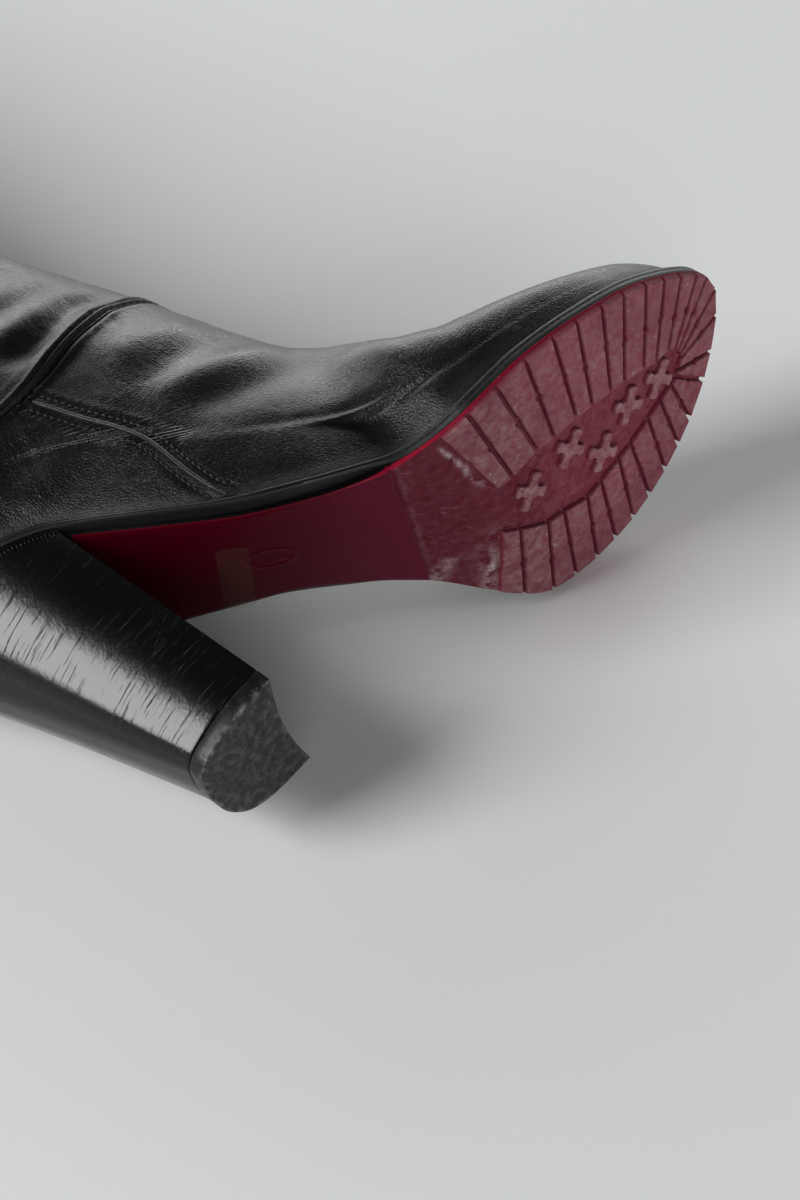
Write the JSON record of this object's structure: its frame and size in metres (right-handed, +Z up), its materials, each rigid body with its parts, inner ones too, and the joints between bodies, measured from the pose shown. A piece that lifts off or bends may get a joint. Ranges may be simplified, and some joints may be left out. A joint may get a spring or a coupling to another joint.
{
  "type": "knee-high boot",
  "caption": "Knee-high pull-on leather boot for the right foot, with a high block heel and a lugged rubber forepart, lying on its medial side.",
  "frame": {"origin": "on the floor under the middle of the boot's box, as the boot lies on its medial side", "axes": "+X down the shaft from the collar to the heel's ground face, +Y from the heel to the toe, +Z up from the floor, towards the boot's lateral side"},
  "size_m": [0.4688, 0.227, 0.1152],
  "materials": {
    "outsole_rubber": "satin",
    "edge_leather": "satin",
    "insole_leather": "matte",
    "heel_leather": "gloss",
    "top_piece_rubber": "matte",
    "upper_leather": "satin"
  },
  "bodies": {
    "root": {"outsole": "outsole_rubber", "midsole": "edge_leather", "insole": "insole_leather", "heel": "heel_leather", "top_piece": "top_piece_rubber", "upper": "upper_leather", "shaft": "upper_leather"}
  },
  "joints": []
}
